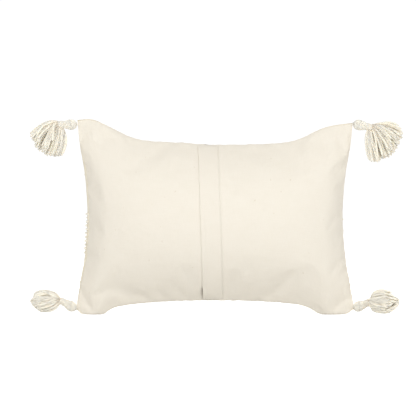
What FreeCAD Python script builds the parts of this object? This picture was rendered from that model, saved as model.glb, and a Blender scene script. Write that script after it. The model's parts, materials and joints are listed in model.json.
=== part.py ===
import FreeCAD, Part

import math
import os

import Sketcher

from FreeCAD import Placement, Rotation, Vector

# A lumbar throw pillow standing on its long seam: a cotton cover with a lapped zip down
# the back, a stuffed insert, and a knotted yarn tassel at each corner.
# +X runs along the width, -Y is the back with the zip, +Z is up, millimetres.

DRIVING_SIZES = {
    # outline of the cover's seam, standing upright
    "cover_width": 490.0,
    "side_pull": 18.0,
    "corner_top": 341.0,
    "top_sag": 38.0,
    "sag_place": 0.69,
    "sag_spread": 0.065,
    "sag_share": 0.75,
    "bottom_rise": 27.0,
    "corner_lift": 12.0,
    "foot_dip": 24.0,
    "foot_place": 0.86,
    "foot_spread": 0.07,
    "foot_slope": 0.10,
    "squash_softness": 1.5,
    # depth from the seam plane
    "back_depth": 75.0,
    "front_depth": 77.9,
    # cloth
    "back_cloth": 0.9,
    "front_cloth": 1.8,
    "lap_cloth": 1.4,
    "casing_cloth": 0.5,
    "layer_gap": 0.3,
    # closure down the back
    "closure_offset": -8.0,
    "closure_lean": 2.2,
    "lap_half_width": 17.0,
    "lap_hump": 1.2,
    "fold_offset": 5.4,
    "dip_start": 21.0,
    "dip_end": 8.0,
    "lap_reach": 0.975,
    "zip_inset": 7.2,
    "tape_width": 12.0,
    "tape_thick": 0.6,
    "tape_edge": 1.1,
    "tape_half_angle": 50.0,
    "coil_offset": 1.05,
    "coil_radius": 0.95,
    "coil_start": -45.3,
    "coil_end": 46.6,
    "slider_length": 9.0,
    "slider_half_width": 4.2,
    "slider_plate": 1.0,
    "slider_cavity_low": -0.7,
    "slider_cavity_high": 2.6,
    "slider_rest_angle": -44.8,
    "stop_angle": 47.4,
    "tab_length": 13.0,
    "tab_width": 5.0,
    "tab_thick": 0.7,
    "tab_pivot_lift": 0.7,
    "stitch_count": 62.0,
    "stitch_reach": 53.0,
    "stitch_length": 2.8,
    "stitch_radius": 0.25,
    "stitch_lift": 1.2,
    # insert
    "insert_back_inset": 9.4,
    "insert_edge_inset": 10.9,
    "insert_side_inset": 4.0,
    # tassels
    "corner_to_bar": 4.4,
    "bar_inset": 3.0,
    "bar_radius": 0.5,
    "bar_length": 5.2,
    "leg_length": 8.6,
    "ring_radius": 3.2,
    "ring_wire": 0.7,
    "eye_radius": 1.7,
    "eye_wire": 0.6,
    "knob_half_length": 6.8,
    "knob_radius": 9.0,
    "knob_from_eye": 8.6,
    "core_radius": 4.1,
    "core_end": 21.4,
    "wrap_radius": 5.1,
    "wrap_yarn": 0.95,
    "wrap_start": 15.6,
    "wrap_pitch": 1.7,
    "wrap_turns": 4.0,
    "pinch_from_eye": 25.6,
    "hanging_length": 62.0,
    "hanging_radius": 27.0,
    "resting_length": 53.0,
    "resting_radius": 22.4,
}

doc = FreeCAD.newDocument("throw_pillow")
sheet = doc.addObject("Spreadsheet::Sheet", "sizes")
for row, (alias, value) in enumerate(DRIVING_SIZES.items(), start=1):
    sheet.set(f"A{row}", alias)
    sheet.set(f"B{row}", str(value))
    sheet.setAlias(f"B{row}", alias)
doc.recompute()


def size(alias):
    return float(sheet.get(alias))


def bind(thing, prop, formula):
    """Bind a property to the sheet; a bare word in braces is a cell's alias."""
    thing.setExpression(prop, formula.replace("{", "sizes.").replace("}", ""))


subparts = []


def keep(thing, label, placement=None):
    """Give a finished sub-part its own label and place, and list it for writing."""
    thing.Label = label
    if placement is not None:
        thing.Placement = placement
    subparts.append(thing)
    return thing


# ---------------------------------------------------------------- the crowned surfaces

HALF_WIDTH = size("cover_width") / 2
MID_HALF_HEIGHT = (size("corner_top") - size("top_sag") - size("bottom_rise")) / 2
MID_HEIGHT = size("bottom_rise") + MID_HALF_HEIGHT
BACK_DEPTH = size("back_depth")
BACK_RADIUS = (MID_HALF_HEIGHT**2 + BACK_DEPTH**2) / (2 * BACK_DEPTH)
CLOSURE_SLOPE = math.tan(math.radians(size("closure_lean")))
FOOT_BITE = 0.35    # how far the soft feet are pressed past the floor plane


def smooth(low, high, value):
    """0 below low, 1 above high, an S-curve between."""
    ratio = min(max((value - low) / (high - low), 0.0), 1.0)
    return ratio * ratio * (3 - 2 * ratio)


def seam_low(across):
    """Height of the bottom seam: raised at the middle, dipping to a foot near each end."""
    reach = abs(across)
    arch = size("bottom_rise") * (1 - reach**2.4) + size("corner_lift") * reach**14
    spread = size("foot_spread") if reach > size("foot_place") else size("foot_slope")
    foot = ((reach - size("foot_place")) / spread) ** 2
    return arch - size("foot_dip") * math.exp(-foot)


def ear(reach):
    """An S-curve in reach, about half way up at the place where a corner's ear begins."""
    return 1 / (1 + math.exp((size("sag_place") - reach) / size("sag_spread")))


def seam_high(across):
    """Height of the top seam: sagging at the middle, with a level ear at each corner."""
    reach = abs(across)
    share = size("sag_share")
    raised = share * ear(reach) / ear(1.0) + (1 - share) * reach**2
    return size("corner_top") - size("top_sag") * (1 - raised)


def fullness(across):
    """Share of the full depth that a column of the pillow has, 0 at the side seams."""
    return max(1 - abs(across) ** 3, 0.0) ** 0.6


def half_width(up):
    """Distance from the middle to the side seam, pulled in between the corners."""
    return HALF_WIDTH - size("side_pull") * (1 - abs(up) ** 1.6)


class Layer:
    """One crowned surface: side is -1 for the back and +1 for the front."""

    def __init__(self, side, depth, edge_inset, side_inset, floor):
        self.side = side
        self.depth = depth
        self.edge_inset = edge_inset
        self.side_inset = side_inset
        self.floor = floor
        self.offset = 0.0    # distance of the surface's rim from the seam plane

    def point(self, across, up, dip=0.0):
        """across and up run -1..1 between the seams; dip sinks the surface radially."""
        low = seam_low(across) + self.edge_inset
        high = seam_high(across) - self.edge_inset
        half = (high - low) / 2
        middle = (high + low) / 2
        depth = self.depth * fullness(across)
        if depth < 1e-6:
            out, height = 0.0, middle + half * up
        else:
            sweep = 2 * math.atan(depth / half)
            radius = half / math.sin(sweep)
            centre = radius - depth
            radius -= dip
            angle = up * math.acos(centre / radius)
            out = radius * math.cos(angle) - centre
            height = middle + radius * math.sin(angle)
        soft = size("squash_softness")
        height = self.floor + soft * math.log1p(math.exp((height - self.floor) / soft))
        reach = (half_width(up) - self.side_inset) * across
        return Vector(reach, self.side * (out + self.offset), height)


def closure_x(up):
    """X of the closure's middle line, which leans to one side towards the top."""
    height = MID_HALF_HEIGHT * math.sin(up * math.asin(MID_HALF_HEIGHT / BACK_RADIUS))
    return size("closure_offset") - CLOSURE_SLOPE * height


def closure_across(offset, up):
    """The across value of a line beside the closure, offset along X."""
    return (closure_x(up) + offset) / half_width(up)


def patch(layer, start, end, columns=36, rows=30, dip=None):
    """A surface between two lines, start(up) and end(up), with columns crowded at both."""
    grid = []
    for column in range(columns + 1):
        share = (1 - math.cos(math.pi * column / columns)) / 2
        line = []
        for row in range(rows + 1):
            up = -math.cos(math.pi * row / rows)
            across = start(up) + (end(up) - start(up)) * share
            sink = dip(across * half_width(up), up) if dip else 0.0
            line.append(layer.point(across, up, sink))
        grid.append(line)
    surface = Part.BSplineSurface()
    surface.interpolate(grid)
    return surface.toShape()


def shell_between(outer, inner):
    """A closed solid from two four-sided patches, with a ruled strip along each side."""
    strips = [outer, inner]
    for index in range(4):
        strips.append(Part.makeRuledSurface(outer.Edges[index], inner.Edges[index]))
    shell = Part.makeShell(strips)
    shell.sewShape()
    solid = Part.makeSolid(Part.makeShell(shell.Faces))
    if solid.Volume < 0:
        solid.reverse()
    return solid


def side_seam(end):
    return lambda up: end


def closure_line(offset):
    return lambda up: closure_across(offset, up)


def soft_piece(name, shape):
    piece = doc.addObject("Part::Feature", name)
    piece.Shape = shape
    return piece


def trimmed_at_floor(name, shape):
    """Cut a soft piece flat where it presses on the surface that it stands on."""
    cloth = soft_piece(name + "_cloth", shape)
    slab = doc.addObject("Part::Box", name + "_floor")
    bind(slab, "Length", "{cover_width} + 40")
    bind(slab, "Width", "{back_depth} + {front_depth} + 40")
    slab.Height = 20
    slab.Placement = Placement(
        Vector(-HALF_WIDTH - 20, -BACK_DEPTH - 20, -20), Rotation())
    cut = doc.addObject("Part::Cut", name)
    cut.Base = cloth
    cut.Tool = slab
    return cut


def cloth_layers(side, depth, cloth):
    outer = Layer(side, depth, 0.0, 0.0, -FOOT_BITE)
    inner = Layer(side, depth - cloth, cloth, cloth, cloth - FOOT_BITE)
    return outer, inner


def make_front_panel():
    outer, inner = cloth_layers(1, size("front_depth"), size("front_cloth"))
    edges = side_seam(-1), side_seam(1)
    solid = shell_between(patch(outer, *edges), patch(inner, *edges))
    keep(trimmed_at_floor("front", solid), "front_panel")


def closure_dip(x, up):
    """How far the back panels sink towards the zip beside the closure line."""
    beside = abs(x - closure_x(up))
    rest = size("back_cloth") + size("tape_thick") / 2 + size("layer_gap")
    return (size("zip_inset") - rest) * smooth(size("dip_start"), size("dip_end"), beside)


def make_back_panels():
    outer, inner = cloth_layers(-1, BACK_DEPTH, size("back_cloth"))
    fold = size("fold_offset")
    sides = {
        "back_panel_left": (side_seam(-1), closure_line(-fold)),
        "back_panel_right": (closure_line(fold), side_seam(1)),
    }
    for label, edges in sides.items():
        faces = [patch(layer, *edges, dip=closure_dip) for layer in (outer, inner)]
        keep(trimmed_at_floor(label + "_cut", shell_between(*faces)), label)


def make_lap():
    """The hem over the zip: two plies with a slight hump, free along its left edge."""
    near = size("layer_gap")
    half = size("lap_half_width")
    turned_in = 2.0    # how far the plies run on past the row of stitches
    reach = size("lap_reach")
    columns, rows = 12, 30

    def surface(lift):
        layer = Layer(-1, BACK_DEPTH, 0.0, 0.0, -FOOT_BITE)
        grid = []
        for column in range(columns + 1):
            offset = -half + (2 * half + turned_in) * column / columns
            hump = size("lap_hump") * max(1 - (offset / (half + turned_in)) ** 2, 0.0)
            line = []
            for row in range(rows + 1):
                up = reach * (2 * row / rows - 1)
                line.append(layer.point(closure_across(offset, up), up, -hump - lift))
            grid.append(line)
        sheet_face = Part.BSplineSurface()
        sheet_face.interpolate(grid)
        return sheet_face.toShape()

    solid = shell_between(surface(near + size("lap_cloth")), surface(near))
    keep(soft_piece("lap", solid), "zip_lap")


def make_insert():
    """The stuffed insert: a casing of two plain sheets round one block of filling."""
    edge = size("insert_edge_inset")
    beside = size("insert_side_inset")
    cloth = size("casing_cloth")
    floor = size("front_cloth") + size("layer_gap")
    depths = {
        -1: BACK_DEPTH - size("insert_back_inset"),
        1: size("front_depth") - size("front_cloth") - size("layer_gap"),
    }
    seams = side_seam(-1), side_seam(1)
    halves = {}
    for side, label in ((-1, "insert_casing_back"), (1, "insert_casing_front")):
        outer = Layer(side, depths[side], edge, beside, floor)
        inner = Layer(side, depths[side] - cloth, edge + cloth, beside + cloth, floor + cloth)
        solid = shell_between(patch(outer, *seams), patch(inner, *seams))
        keep(soft_piece(label, solid), label)
        gap = cloth + 3 * size("layer_gap")
        rim = 2 * gap
        core = Layer(side, depths[side] - gap, edge + rim, beside + rim, floor + gap)
        core.offset = size("layer_gap")
        halves[side] = patch(core, *seams)
    solid = shell_between(halves[1], halves[-1])
    keep(soft_piece("filling", solid), "insert_filling")


# ---------------------------------------------------------------- the zip

# The zip lies on an arc about an axis along its own X, so the slider's path is a circle.
ZIP_RADIUS = BACK_RADIUS - size("zip_inset")
ZIP_CENTRE = Vector(size("closure_offset"), BACK_RADIUS - BACK_DEPTH, MID_HEIGHT)
ZIP_FRAME = Placement(ZIP_CENTRE, Rotation(Vector(0, 1, 0), -size("closure_lean")))
CHAIN_GAP = 0.05    # clearance between a tape and what sits on it


def on_zip(angle, radius=ZIP_RADIUS):
    """Frame on the zip's arc: local Z points out of the pillow, local Y up the chain."""
    turn = Rotation(Vector(1, 0, 0), 90 - angle)
    out = turn.multVec(Vector(0, 0, 1))
    return ZIP_FRAME.multiply(Placement(out * radius, turn))


def origin_plane(body, role):
    return next(item for item in body.Origin.OriginFeatures if item.Role == role)


def new_sketch(body, role, name, lift=0.0):
    sketch = body.newObject("Sketcher::SketchObject", name)
    sketch.AttachmentSupport = [(origin_plane(body, role), "")]
    sketch.MapMode = "FlatFace"
    sketch.AttachmentOffset = Placement(Vector(0, 0, lift), Rotation())
    return sketch


def add_loop(sketch, points):
    """A closed polygon in a sketch, its corners joined."""
    first = sketch.GeometryCount
    count = len(points)
    for index, start in enumerate(points):
        end = points[(index + 1) % count]
        sketch.addGeometry(Part.LineSegment(Vector(*start, 0), Vector(*end, 0)), False)
    for index in range(count):
        after = first + (index + 1) % count
        sketch.addConstraint(Sketcher.Constraint("Coincident", first + index, 2, after, 1))


def add_circle(sketch, centre_x, centre_y, radius_formula):
    """A circle whose radius and centre follow the sheet."""
    circle = Part.Circle(Vector(10, 10, 0), Vector(0, 0, 1), 1.0)
    index = sketch.addGeometry(circle, False)
    radius = sketch.addConstraint(Sketcher.Constraint("Radius", index, 1.0))
    bind(sketch, f"Constraints[{radius}]", radius_formula)
    across = sketch.addConstraint(Sketcher.Constraint("DistanceX", -1, 1, index, 3, 10.0))
    along = sketch.addConstraint(Sketcher.Constraint("DistanceY", -1, 1, index, 3, 10.0))
    bind(sketch, f"Constraints[{across}]", centre_x)
    bind(sketch, f"Constraints[{along}]", centre_y)


def pad(body, sketch, name, length):
    feature = body.newObject("PartDesign::Pad", name)
    feature.Profile = sketch
    if isinstance(length, str):
        bind(feature, "Length", length)
    else:
        feature.Length = length
    sketch.Visibility = False
    return feature


def box(name, low, high):
    """A plain block between two corners."""
    block = doc.addObject("Part::Box", name)
    block.Length = high[0] - low[0]
    block.Width = high[1] - low[1]
    block.Height = high[2] - low[2]
    block.Placement = Placement(Vector(*low), Rotation())
    return block


def fuse(name, shapes):
    joined = doc.addObject("Part::MultiFuse", name)
    joined.Shapes = shapes
    return joined


def zip_arc(label, build_profile, start, end):
    """A strip of constant section bent round the zip's axis from start to end degrees."""
    body = doc.addObject("PartDesign::Body", label + "_body")
    sketch = new_sketch(body, "XY_Plane", label + "_profile")
    build_profile(sketch)
    turned = body.newObject("PartDesign::Revolution", label + "_turn")
    turned.Profile = sketch
    turned.ReferenceAxis = (sketch, ["H_Axis"])
    turned.Reversed = True
    turned.Angle = end - start
    begin = Placement(Vector(), Rotation(Vector(1, 0, 0), -start))
    return keep(body, label, ZIP_FRAME.multiply(begin))


def make_tapes_and_coils():
    half = size("tape_thick") / 2
    reach = size("tape_half_angle")
    for side, name in ((-1, "left"), (1, "right")):
        near = side * size("tape_edge")
        far = side * (size("tape_edge") + size("tape_width"))

        def tape_section(sketch):
            low, high = -ZIP_RADIUS - half, -ZIP_RADIUS + half
            add_loop(sketch, [(near, low), (far, low), (far, high), (near, high)])

        def coil_section(sketch):
            lift = half + size("coil_radius") + CHAIN_GAP
            sign = "-" if side < 0 else ""
            add_circle(sketch, f"{sign}{{coil_offset}}", f"-{ZIP_RADIUS + lift}", "{coil_radius}")

        zip_arc("zip_tape_" + name, tape_section, -reach, reach)
        zip_arc("zip_coil_" + name, coil_section, size("coil_start"), size("coil_end"))


def make_stops():
    """Blocks that end the slider's run: one on each tape, and one across both."""
    top = size("slider_cavity_high") - 0.4
    low = size("tape_thick") / 2 + CHAIN_GAP
    pair = [
        box("top_stop_left", (-2.6, -1.1, low), (-1.2, 1.1, top)),
        box("top_stop_right", (1.2, -1.1, low), (2.6, 1.1, top)),
    ]
    stops = doc.addObject("Part::Compound", "top_stops")
    stops.Links = pair
    keep(stops, "zip_top_stops", on_zip(-size("stop_angle")))
    bottom = box("bottom_stop", (-2.4, -1.2, low), (2.4, 1.2, top))
    rounded = doc.addObject("Part::Fillet", "bottom_stop_rounded")
    doc.recompute()
    rounded.Base = bottom
    edge_round = 0.4
    rounded.Edges = [(index, edge_round, edge_round) for index in range(1, 13)]
    keep(rounded, "zip_bottom_stop", on_zip(size("stop_angle") + 0.2))


def slider_outline(inset=0.0):
    """Top view of a slider plate: wide shoulders at the nose, narrower at the tail."""
    wide = size("slider_half_width") - inset
    tail = wide - 0.7
    end = size("slider_length") / 2 - inset
    return [
        (-tail, end), (tail, end), (wide, end - 3.2), (wide, -end + 1.6),
        (wide - 1.4, -end), (-wide + 1.4, -end), (-wide, -end + 1.6), (-wide, end - 3.2),
    ]


def make_slider():
    """Two plates joined by a wedge at the nose, lips round the chain and a bail on top."""
    body = doc.addObject("PartDesign::Body", "slider_body")
    low = size("slider_cavity_low")
    high = size("slider_cavity_high")
    plate = size("slider_plate")
    nose = -size("slider_length") / 2

    wedge = new_sketch(body, "XY_Plane", "slider_wedge", low - plate)
    add_loop(wedge, [(-0.9, nose + 0.2), (0.9, nose + 0.2), (0.5, nose + 2.4), (-0.5, nose + 2.4)])
    pad(body, wedge, "wedge_pad", high - low + 2 * plate)

    upper = new_sketch(body, "XY_Plane", "slider_upper", high)
    add_loop(upper, slider_outline())
    pad(body, upper, "upper_plate", "{slider_plate}")

    lower = new_sketch(body, "XY_Plane", "slider_lower", low - plate)
    add_loop(lower, slider_outline(0.2))
    pad(body, lower, "lower_plate", "{slider_plate}")

    wide = size("slider_half_width")
    lip_floor = 0.75    # the lips stop this far above the tape's middle plane
    for side in (-1, 1):
        lip = new_sketch(body, "XY_Plane", f"slider_lip_{side + 1}", lip_floor)
        inner = side * (wide - 1.6)
        outer = side * (wide - 0.75)
        start, end = nose + 2.2, -nose - 0.6
        add_loop(lip, [(inner, start), (outer, start), (outer, end), (inner, end)])
        pad(body, lip, f"lip_pad_{side + 1}", high - lip_floor + plate / 2)

    bail_width = 1.2
    bail = new_sketch(body, "YZ_Plane", "slider_bail", -bail_width / 2)
    top = high + plate
    add_loop(bail, [(-3.0, top - 0.3), (-2.4, top + 1.5), (-1.6, top + 1.8),
                    (0.8, top + 1.8), (1.6, top + 1.5), (2.2, top - 0.3)])
    add_loop(bail, [(-1.9, top + 0.2), (-1.6, top + 1.2), (0.6, top + 1.2), (1.1, top + 0.2)])
    pad(body, bail, "bail_pad", bail_width)
    keep(body, "zip_slider", on_zip(size("slider_rest_angle")))


def rectangle(half, low, high):
    """The corners of a window of the pull tab, centred across it."""
    return [(-half, low), (half, low), (half, high), (-half, high)]


def make_pull_tab():
    """A flat tab on a thin crossbar that turns under the slider's bail."""
    body = doc.addObject("PartDesign::Body", "tab_body")
    half = size("tab_width") / 2
    length = size("tab_length")
    bar = size("tab_thick") / 2
    outline = new_sketch(body, "XY_Plane", "tab_outline", -bar)
    right_side = [(half, -bar), (half, 3.0), (half - 0.6, length - 1.2), (half - 1.6, length)]
    left_side = [(-x, y) for x, y in reversed(right_side)]
    add_loop(outline, right_side + left_side)
    add_loop(outline, rectangle(1.3, bar, 2.6))
    add_loop(outline, rectangle(0.9, length - 4.5, length - 1.6))
    pad(body, outline, "tab_pad", "{tab_thick}")
    lift = size("slider_cavity_high") + size("slider_plate") + size("tab_pivot_lift")
    pivot = Placement(Vector(0, 0.2, lift), Rotation())
    keep(body, "zip_pull_tab", on_zip(size("slider_rest_angle")).multiply(pivot))


def make_stitches():
    """The row of thread stitches that holds the lap down along its root."""
    count = int(size("stitch_count"))
    length = size("stitch_length")
    radius = BACK_RADIUS + size("layer_gap") + size("lap_cloth") + size("stitch_lift")
    root = Placement(Vector(size("lap_half_width"), 0, 0), Rotation())
    beside = ZIP_FRAME.multiply(root)
    stitches = []
    for index in range(count):
        angle = size("stitch_reach") * (2 * index / (count - 1) - 1)
        start = Vector(0, -length / 2, 0)
        stitch = Part.makeCylinder(size("stitch_radius"), length, start, Vector(0, 1, 0))
        turn = Rotation(Vector(1, 0, 0), 90 - angle)
        place = turn.multVec(Vector(0, 0, radius))
        stitch.Placement = beside.multiply(Placement(place, turn))
        stitches.append(stitch)
    keep(soft_piece("stitches", Part.makeCompound(stitches)), "lap_stitches")


# ---------------------------------------------------------------- the corner tassels

# side and level place the corner; rise is the neck's angle above level, outwards;
# drop is the skirt's angle below level and yaw turns it towards the back.
TASSELS = {
    "tl": {"side": -1, "top": True, "rise": 0.0, "drop": 57.0, "yaw": 0.0},
    "tr": {"side": 1, "top": True, "rise": -12.0, "drop": 55.0, "yaw": 0.0},
    "bl": {"side": -1, "top": False, "rise": 28.0, "drop": 3.0, "yaw": 0.0},
    "br": {"side": 1, "top": False, "rise": 24.0, "drop": 0.0, "yaw": 33.0},
}


def heading(side, rise, yaw=0.0):
    """Unit vector outwards from a side of the pillow, raised and turned to the back."""
    level = math.cos(math.radians(rise))
    return Vector(side * level * math.cos(math.radians(yaw)),
                  -level * math.sin(math.radians(yaw)),
                  math.sin(math.radians(rise)))


def facing(direction):
    return Rotation(Vector(0, 0, 1), direction)


def bar_place(corner):
    level = seam_high(1) if corner["top"] else seam_low(1)
    inset = -size("bar_inset") if corner["top"] else size("bar_inset") / 2
    return Vector(corner["side"] * (HALF_WIDTH + size("corner_to_bar")), 0, level + inset)


def make_corner_stitches():
    """A staple of thread at each corner: a bar across the seam with two legs."""
    solids = []
    for name, corner in TASSELS.items():
        place = bar_place(corner)
        inward = -corner["side"]
        half = size("bar_length") / 2
        parts = []
        bar = doc.addObject("Part::Cylinder", f"bar_{name}")
        bind(bar, "Radius", "{bar_radius}")
        bind(bar, "Height", "{bar_length}")
        bar.Placement = Placement(place + Vector(0, half, 0), facing(Vector(0, -1, 0)))
        parts.append(bar)
        for sense in (-1, 1):
            leg = doc.addObject("Part::Cylinder", f"leg_{name}_{sense + 1}")
            bind(leg, "Radius", "{bar_radius}")
            bind(leg, "Height", "{leg_length}")
            end = place + Vector(0, sense * half, 0)
            leg.Placement = Placement(end, facing(Vector(inward, 0, 0)))
            elbow = doc.addObject("Part::Sphere", f"elbow_{name}_{sense + 1}")
            bind(elbow, "Radius", "{bar_radius}")
            elbow.Placement = Placement(end, Rotation())
            parts += [leg, elbow]
        solids.append(fuse(f"staple_{name}", parts))
    group = doc.addObject("Part::Compound", "corner_staples")
    group.Links = solids
    keep(group, "corner_stitches")


def torus(name, major, minor, place):
    ring = doc.addObject("Part::Torus", name)
    bind(ring, "Radius1", major)
    bind(ring, "Radius2", minor)
    ring.Placement = place
    return ring


def make_loop(name, bar):
    """A ring of cord round the corner's thread bar, lying in the seam's plane."""
    ring = torus(f"loop_{name}", "{ring_radius}", "{ring_wire}",
                 Placement(bar, facing(Vector(0, 1, 0))))
    keep(ring, f"tassel_{name}_loop")


def make_knob(name, eye, outward):
    """The knotted head, its eye round the loop and the bundle of yarn through the neck."""
    eyelet = torus(f"eye_{name}", "{eye_radius}", "{eye_wire}", Placement(eye, Rotation()))
    knob = doc.addObject("Part::Ellipsoid", f"knot_{name}")
    bind(knob, "Radius1", "{knob_half_length}")
    bind(knob, "Radius2", "{knob_radius}")
    bind(knob, "Radius3", "{knob_radius}")
    knob.Placement = Placement(eye + outward * size("knob_from_eye"), facing(outward))
    core = doc.addObject("Part::Cylinder", f"core_{name}")
    bind(core, "Radius", "{core_radius}")
    bind(core, "Height", "{core_end} - {knob_from_eye}")
    core.Placement = Placement(eye + outward * size("knob_from_eye"), facing(outward))
    keep(fuse(f"head_{name}", [knob, core, eyelet]), f"tassel_{name}_knob")


def make_wrap(name, eye, outward):
    """Close turns of yarn round the neck, as one ring repeated along it."""
    body = doc.addObject("PartDesign::Body", f"wrap_{name}")
    section = new_sketch(body, "XZ_Plane", f"wrap_section_{name}")
    add_circle(section, "{wrap_radius}", "{wrap_start}", "{wrap_yarn}")
    turn = body.newObject("PartDesign::Revolution", f"wrap_turn_{name}")
    turn.Profile = section
    turn.ReferenceAxis = (section, ["V_Axis"])
    turn.Angle = 360
    rows = body.newObject("PartDesign::LinearPattern", f"wrap_rows_{name}")
    rows.Originals = [turn]
    rows.Direction = (section, ["V_Axis"])
    bind(rows, "Length", "{wrap_pitch} * ({wrap_turns} - 1)")
    rows.Occurrences = int(size("wrap_turns"))
    body.Tip = rows
    keep(body, f"tassel_{name}_neck_wrap", Placement(eye, facing(outward)))


# Each skirt's sections, as shares of its length and of its largest radius: a hanging one
# fans out to its cut ends, a resting one is a round puff.
SKIRT_SECTIONS = {
    "hanging": [(0.0, 0.09), (0.06, 0.14), (0.25, 0.38), (0.55, 0.72), (0.85, 0.98),
                (1.0, 0.86)],
    "resting": [(0.0, 0.11), (0.06, 0.17), (0.2, 0.48), (0.42, 0.88), (0.68, 1.0),
                (0.9, 0.82), (1.0, 0.42)],
}


def make_skirt(name, pinch, direction, kind):
    """The loose yarn: a loft of circles from the pinch to the brushed-out end."""
    body = doc.addObject("PartDesign::Body", f"skirt_{name}")
    sections = []
    for index, (along, wide) in enumerate(SKIRT_SECTIONS[kind]):
        ring = new_sketch(body, "XY_Plane", f"skirt_{name}_{index}")
        bind(ring, "AttachmentOffset.Base.z", f"{{{kind}_length}} * {along}")
        add_circle(ring, "0 mm", "0 mm", f"{{{kind}_radius}} * {wide}")
        sections.append(ring)
    loft = body.newObject("PartDesign::AdditiveLoft", f"skirt_loft_{name}")
    loft.Profile = sections[0]
    loft.Sections = sections[1:]
    keep(body, f"tassel_{name}_skirt", Placement(pinch, facing(direction)))


def make_tassels():
    for name, corner in TASSELS.items():
        bar = bar_place(corner)
        outward = heading(corner["side"], corner["rise"])
        eye = bar + Vector(corner["side"] * size("ring_radius"), 0, 0)
        pinch = eye + outward * size("pinch_from_eye")
        direction = heading(corner["side"], -corner["drop"], corner["yaw"])
        make_loop(name, bar)
        make_knob(name, eye, outward)
        make_wrap(name, eye, outward)
        make_skirt(name, pinch, direction, "hanging" if corner["top"] else "resting")


# ---------------------------------------------------------------- build and write

make_front_panel()
make_back_panels()
make_lap()
make_insert()
make_tapes_and_coils()
make_stops()
make_slider()
make_pull_tab()
make_stitches()
make_corner_stitches()
make_tassels()
doc.recompute()

faults = [thing.Name for thing in doc.Objects if "Invalid" in thing.State or "Error" in thing.State]
for piece in subparts:
    if piece.Shape.isNull() or not piece.Shape.isValid():
        faults.append(piece.Label)
if faults:
    raise RuntimeError("objects that failed: " + ", ".join(faults))

os.makedirs("parts", exist_ok=True)
for piece in subparts:
    piece.Shape.exportStep(os.path.join("parts", piece.Label + ".step"))
    bounds = piece.Shape.BoundBox
    print(f"{piece.Label:24s} solids {len(piece.Shape.Solids):3d} volume {piece.Shape.Volume:12.1f}"
          f"  x {bounds.XMin:7.1f} {bounds.XMax:7.1f}  y {bounds.YMin:6.1f} {bounds.YMax:6.1f}"
          f"  z {bounds.ZMin:6.1f} {bounds.ZMax:6.1f}")
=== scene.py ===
import json
import math

import bpy
import numpy as np
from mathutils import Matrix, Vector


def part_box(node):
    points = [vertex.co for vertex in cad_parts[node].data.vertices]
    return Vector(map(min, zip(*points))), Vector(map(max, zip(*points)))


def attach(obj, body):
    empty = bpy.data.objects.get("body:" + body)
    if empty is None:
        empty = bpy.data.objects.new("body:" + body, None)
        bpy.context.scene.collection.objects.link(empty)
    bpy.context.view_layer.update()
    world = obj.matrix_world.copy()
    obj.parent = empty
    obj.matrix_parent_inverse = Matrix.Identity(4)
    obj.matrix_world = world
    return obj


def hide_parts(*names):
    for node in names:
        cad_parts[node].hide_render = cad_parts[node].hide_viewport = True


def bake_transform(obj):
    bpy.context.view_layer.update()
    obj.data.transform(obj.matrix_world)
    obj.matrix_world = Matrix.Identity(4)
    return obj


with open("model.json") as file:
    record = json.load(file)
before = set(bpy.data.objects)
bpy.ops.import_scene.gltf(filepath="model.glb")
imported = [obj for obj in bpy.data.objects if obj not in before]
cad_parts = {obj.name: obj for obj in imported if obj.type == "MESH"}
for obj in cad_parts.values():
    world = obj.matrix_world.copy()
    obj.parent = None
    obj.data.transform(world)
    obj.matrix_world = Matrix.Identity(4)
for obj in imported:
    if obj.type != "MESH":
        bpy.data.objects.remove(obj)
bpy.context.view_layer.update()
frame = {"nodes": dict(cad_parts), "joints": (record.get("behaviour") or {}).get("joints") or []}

# A lumbar throw pillow seen from its back: a crowned cotton cover with a lapped zip, its
# stuffed insert, and a knotted yarn tassel at each corner. Metres, in the CAD's frame.

MM = 0.001

# ---- driving sizes

HALF_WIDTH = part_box("back_panel_right")[1].x
CORNER_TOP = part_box("back_panel_left")[1].z
FRONT_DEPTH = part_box("front_panel")[1].y
BACK_DEPTH = -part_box("back_panel_left")[0].y
SIDE_PULL = 18 * MM
TOP_SAG = 38 * MM
SAG_PLACE, SAG_SPREAD, SAG_SHARE = 0.69, 0.065, 0.75
BOTTOM_RISE = 27 * MM
CORNER_LIFT = 12 * MM
FOOT_DIP = 24 * MM
LEFT_FOOT = {"place": 0.885, "outer": 0.08, "inner": 0.10}
RIGHT_FOOT = {"place": 0.85, "outer": 0.10, "inner": 0.13}
SEAM_DROOP = 3 * MM
# How far the sides stand out beside the corners, draw in at them, and widen at the feet.
CORNER_FLARE, CORNER_ROUND, FOOT_FLARE = 2.5 * MM, 0.5 * MM, 1.7 * MM
LEFT_RISE, LEFT_EAR = 3.5 * MM, 6 * MM    # the left half of the top stands a little higher
FLOOR_SOFTNESS = 1.5 * MM
MID_HALF_HEIGHT = (CORNER_TOP - TOP_SAG - BOTTOM_RISE) / 2
MID_HEIGHT = BOTTOM_RISE + MID_HALF_HEIGHT
BACK_RADIUS = (MID_HALF_HEIGHT**2 + BACK_DEPTH**2) / (2 * BACK_DEPTH)
CUT_WIDTH, CUT_HEIGHT = 508 * MM, 356 * MM

BACK_CLOTH, FRONT_CLOTH = 0.9 * MM, 1.8 * MM
SEAM_GROOVE, SEAM_GROOVE_WIDTH = 1.1 * MM, 1.6 * MM
PANEL_ROWS = 104
SIDE_WRAP = 0.085    # how far the front cloth rolls round the left side, as a share

CLOSURE_OFFSET = -8 * MM
CLOSURE_LEAN = math.radians(2.2)
LAP_HALF_WIDTH = 17 * MM
LAP_ROOT = 18.3 * MM
LAP_PLIES = 1.2 * MM
FOLD_OFFSET = 5.4 * MM
ZIP_SINK = 5.9 * MM
ZIP_RADIUS = BACK_RADIUS - 7.2 * MM
COIL_LIFT = 1.3 * MM
COIL_START, COIL_END = -45.3, 46.6

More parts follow.
